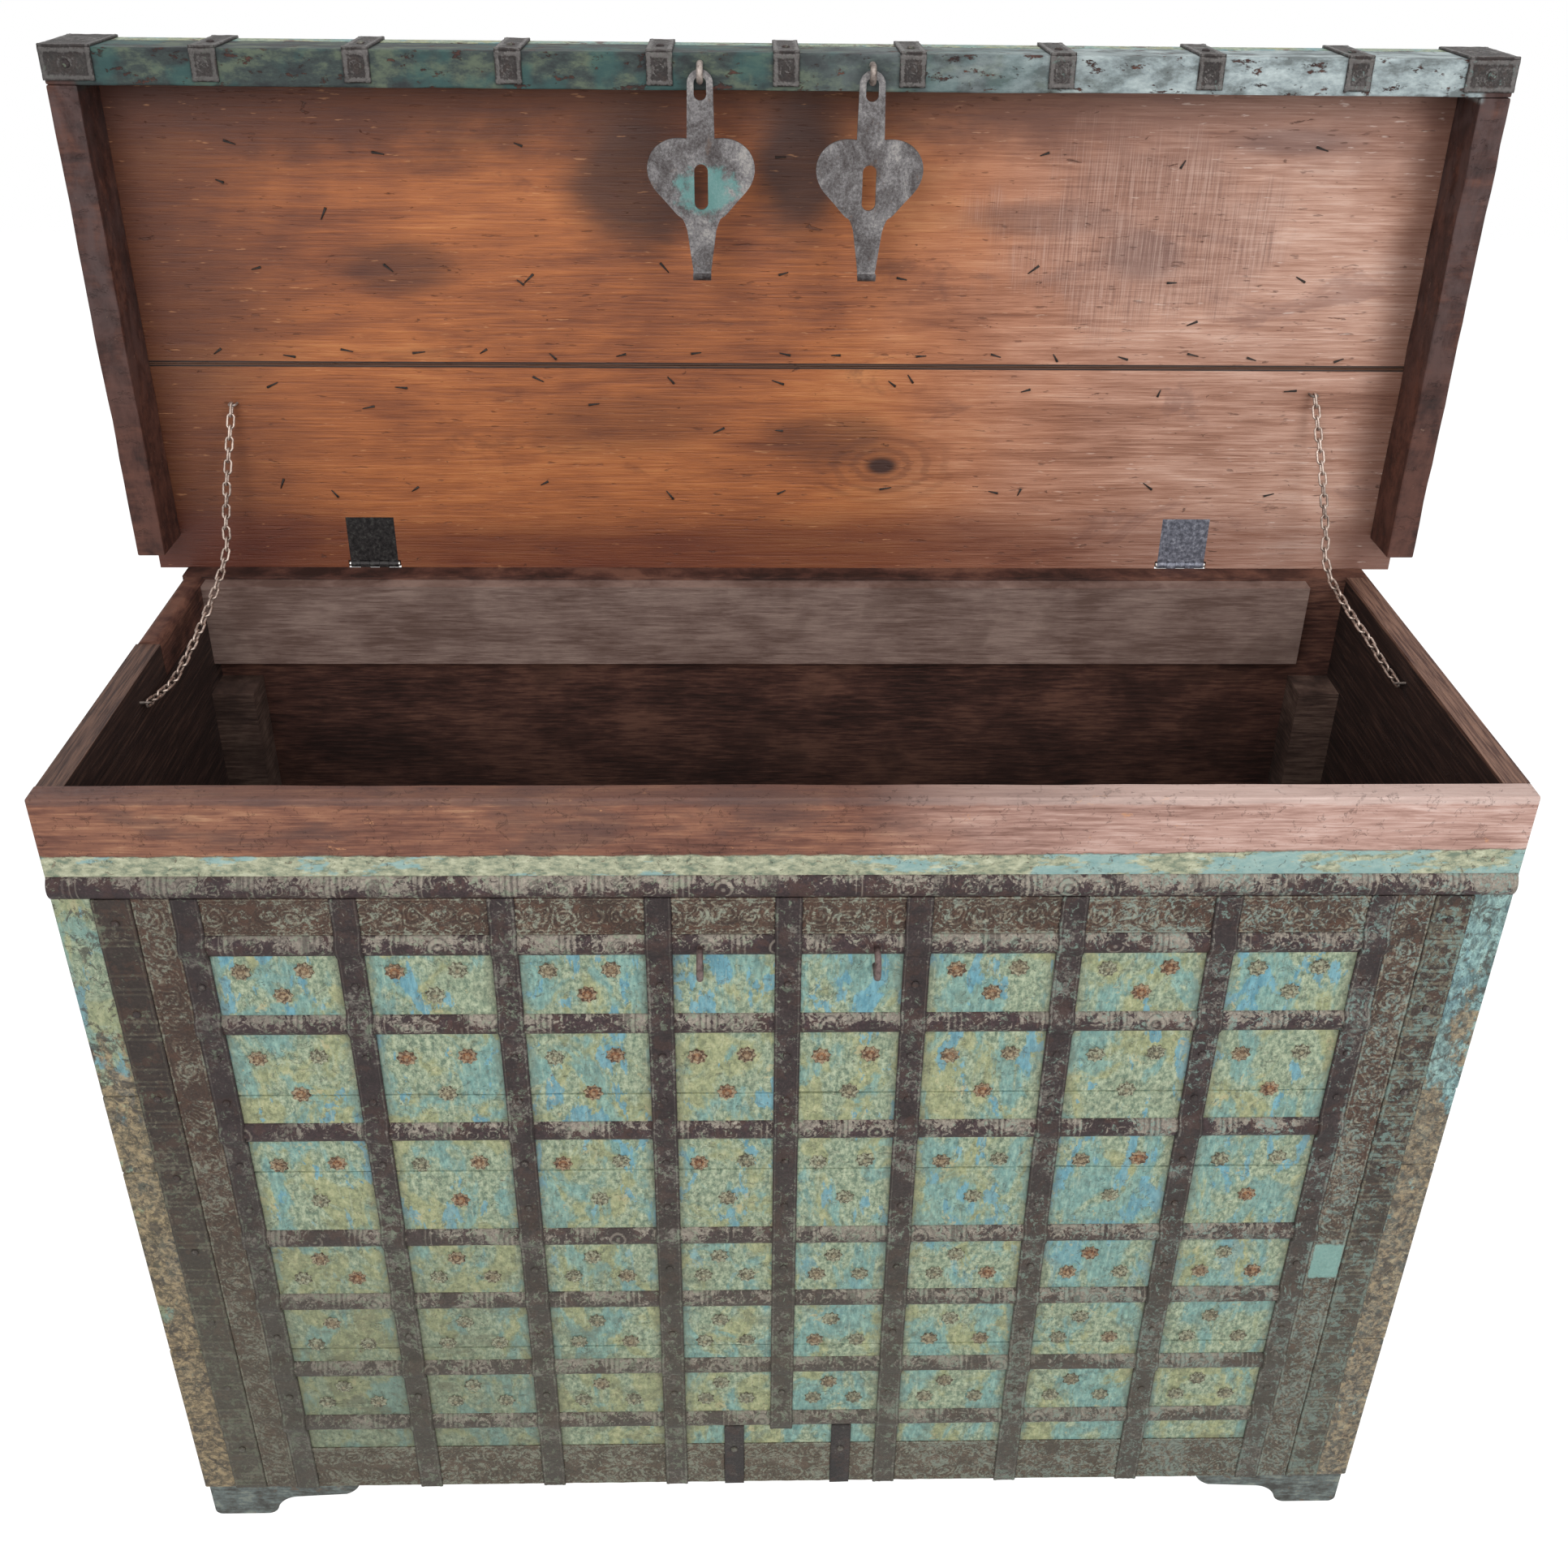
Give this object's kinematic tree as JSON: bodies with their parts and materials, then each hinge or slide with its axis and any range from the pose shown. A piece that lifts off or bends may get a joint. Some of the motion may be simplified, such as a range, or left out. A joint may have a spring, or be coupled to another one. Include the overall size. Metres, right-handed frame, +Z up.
{
  "type": "dowry chest",
  "caption": "Wooden dowry chest on bracket feet, bound with embossed iron straps, its hinged lid standing open on stay chains with hanging hasps",
  "frame": {"origin": "on the floor, under the middle of the open chest's box", "axes": "X to the chest's right as seen from the front, Y from front to back, Z up"},
  "size_m": [1.572, 0.6459, 1.7313],
  "materials": {
    "teak_planks": "dark oiled teak, worn",
    "painted_planks": "teak with worn sea-green paint, bare at the rim",
    "lid_teak": "orange-brown teak with plane marks",
    "lid_rails": "teak rails with worn dark green paint",
    "foot_wood": "slate-green painted wood",
    "bound_iron": "dark aged iron with worn greenish paint in its relief",
    "embossed_sheet": "thin embossed iron sheet, pale in its relief",
    "rusted_flowers": "rust-brown flower nails",
    "hinge_steel": "dulled steel",
    "pin_steel": "bright turned steel",
    "chain_steel": "bright plated short-link chain"
  },
  "bodies": {
    "carcase": {"back_planks": "teak_planks", "border_sheets": "embossed_sheet", "border_straps": "bound_iron", "corner_posts": "teak_planks", "end_bands": "bound_iron", "end_straps": "bound_iron", "floor_bearers": "teak_planks", "floor_boards": "teak_planks", "foot_back_left": "foot_wood", "foot_back_right": "foot_wood", "foot_front_left": "foot_wood", "foot_front_right": "foot_wood", "front_bands": "bound_iron", "front_planks": "painted_planks", "front_staples": "bound_iron", "front_straps": "bound_iron", "hinge_body_leaves": "hinge_steel", "hinge_body_screws": "hinge_steel", "hinge_pins": "pin_steel", "inner_back_rail": "teak_planks", "left_end_planks": "painted_planks", "left_rim_block": "teak_planks", "lower_frieze": "embossed_sheet", "right_end_planks": "painted_planks", "rosettes": "rusted_flowers", "short_straps": "bound_iron", "strap_nails": "bound_iron", "upper_frieze": "embossed_sheet", "wall_chain_staples": "chain_steel"},
    "lid": {"hinge_lid_leaves": "hinge_steel", "hinge_lid_screws": "hinge_steel", "lid_bands": "bound_iron", "lid_chain_staples": "chain_steel", "lid_corner_plates": "bound_iron", "lid_front_board": "lid_teak", "lid_front_rail": "lid_rails", "lid_left_rail": "lid_rails", "lid_nails": "bound_iron", "lid_rear_board": "lid_teak", "lid_right_rail": "lid_rails", "lid_rosettes": "rusted_flowers", "lid_staples": "bound_iron", "lid_straps": "bound_iron"},
    "hasp_left": {"hasp_left": "bound_iron"},
    "hasp_right": {"hasp_right": "bound_iron"},
    "chain_left_run_1": {"chain_left_run_1": "chain_steel"},
    "chain_left_run_2": {"chain_left_run_2": "chain_steel"},
    "chain_left_run_3": {"chain_left_run_3": "chain_steel"},
    "chain_left_run_4": {"chain_left_run_4": "chain_steel"},
    "chain_left_run_5": {"chain_left_run_5": "chain_steel"},
    "chain_right_run_1": {"chain_right_run_1": "chain_steel"},
    "chain_right_run_2": {"chain_right_run_2": "chain_steel"},
    "chain_right_run_3": {"chain_right_run_3": "chain_steel"},
    "chain_right_run_4": {"chain_right_run_4": "chain_steel"},
    "chain_right_run_5": {"chain_right_run_5": "chain_steel"}
  },
  "joints": [
    {"name": "lid_hinge", "type": "hinge", "parent": "carcase", "child": "lid", "pos_m": [0, 0.287, 1.116], "axis": [1, 0, 0], "range_deg": [0, 91]},
    {"name": "hasp_left_swing", "type": "hinge", "parent": "lid", "child": "hasp_left", "pos_m": [-0.092, 0.21783, 1.7083], "axis": [1, 0, 0], "range_deg": [-110, 5]},
    {"name": "hasp_right_swing", "type": "hinge", "parent": "lid", "child": "hasp_right", "pos_m": [0.092, 0.21783, 1.7083], "axis": [1, 0, 0], "range_deg": [-110, 5]},
    {"name": "chain_left_run_1_turn", "type": "hinge", "parent": "carcase", "child": "chain_left_run_1", "pos_m": [-0.716, -0.0171, 1.0781], "axis": [1, 0, 0], "range_deg": [-29.96, 6]},
    {"name": "chain_left_run_2_turn", "type": "hinge", "parent": "chain_left_run_1", "child": "chain_left_run_2", "pos_m": [-0.70751, 0.04657, 1.07276], "axis": [1, 0, 0], "range_deg": [-6, 13.66]},
    {"name": "chain_left_run_3_turn", "type": "hinge", "parent": "chain_left_run_2", "child": "chain_left_run_3", "pos_m": [-0.6838, 0.21038, 1.14162], "axis": [1, 0, 0], "range_deg": [-6, 79.54]},
    {"name": "chain_left_run_4_turn", "type": "hinge", "parent": "chain_left_run_5", "child": "chain_left_run_4", "pos_m": [-0.67307, 0.24978, 1.23823], "axis": [1, 0, 0], "range_deg": [-6, 75.34]},
    {"name": "chain_left_run_5_turn", "type": "hinge", "parent": "lid", "child": "chain_left_run_5", "pos_m": [-0.661, 0.27802, 1.32464], "axis": [1, 0, 0], "range_deg": [-21.72, 6]},
    {"name": "chain_right_run_1_turn", "type": "hinge", "parent": "carcase", "child": "chain_right_run_1", "pos_m": [0.716, 0.0257, 1.0805], "axis": [1, 0, 0], "range_deg": [-29.81, 6]},
    {"name": "chain_right_run_2_turn", "type": "hinge", "parent": "chain_right_run_1", "child": "chain_right_run_2", "pos_m": [0.70182, 0.1028, 1.10257], "axis": [1, 0, 0], "range_deg": [-6.33, 6]},
    {"name": "chain_right_run_3_turn", "type": "hinge", "parent": "chain_right_run_2", "child": "chain_right_run_3", "pos_m": [0.68289, 0.20527, 1.13295], "axis": [1, 0, 0], "range_deg": [-6, 85.92]},
    {"name": "chain_right_run_4_turn", "type": "hinge", "parent": "chain_right_run_5", "child": "chain_right_run_4", "pos_m": [0.66691, 0.24589, 1.23919], "axis": [1, 0, 0], "range_deg": [-6, 82.47]},
    {"name": "chain_right_run_5_turn", "type": "hinge", "parent": "lid", "child": "chain_right_run_5", "pos_m": [0.648, 0.27802, 1.3413], "axis": [1, 0, 0], "range_deg": [-29.26, 6]}
  ],
  "couplings": [
    {"joint": "hasp_left_swing", "follows": "lid_hinge", "ratio": -1.15},
    {"joint": "hasp_right_swing", "follows": "lid_hinge", "ratio": -1.15},
    {"joint": "chain_left_run_1_turn", "follows": "lid_hinge", "ratio": -0.2633},
    {"joint": "chain_left_run_2_turn", "follows": "lid_hinge", "ratio": 0.0842},
    {"joint": "chain_left_run_3_turn", "follows": "lid_hinge", "ratio": 0.8081},
    {"joint": "chain_left_run_4_turn", "follows": "lid_hinge", "ratio": 0.762},
    {"joint": "chain_left_run_5_turn", "follows": "lid_hinge", "ratio": -0.1728},
    {"joint": "chain_right_run_1_turn", "follows": "lid_hinge", "ratio": -0.2617},
    {"joint": "chain_right_run_2_turn", "follows": "lid_hinge", "ratio": -0.0036},
    {"joint": "chain_right_run_3_turn", "follows": "lid_hinge", "ratio": 0.8782},
    {"joint": "chain_right_run_4_turn", "follows": "lid_hinge", "ratio": 0.8403},
    {"joint": "chain_right_run_5_turn", "follows": "lid_hinge", "ratio": -0.2556}
  ]
}
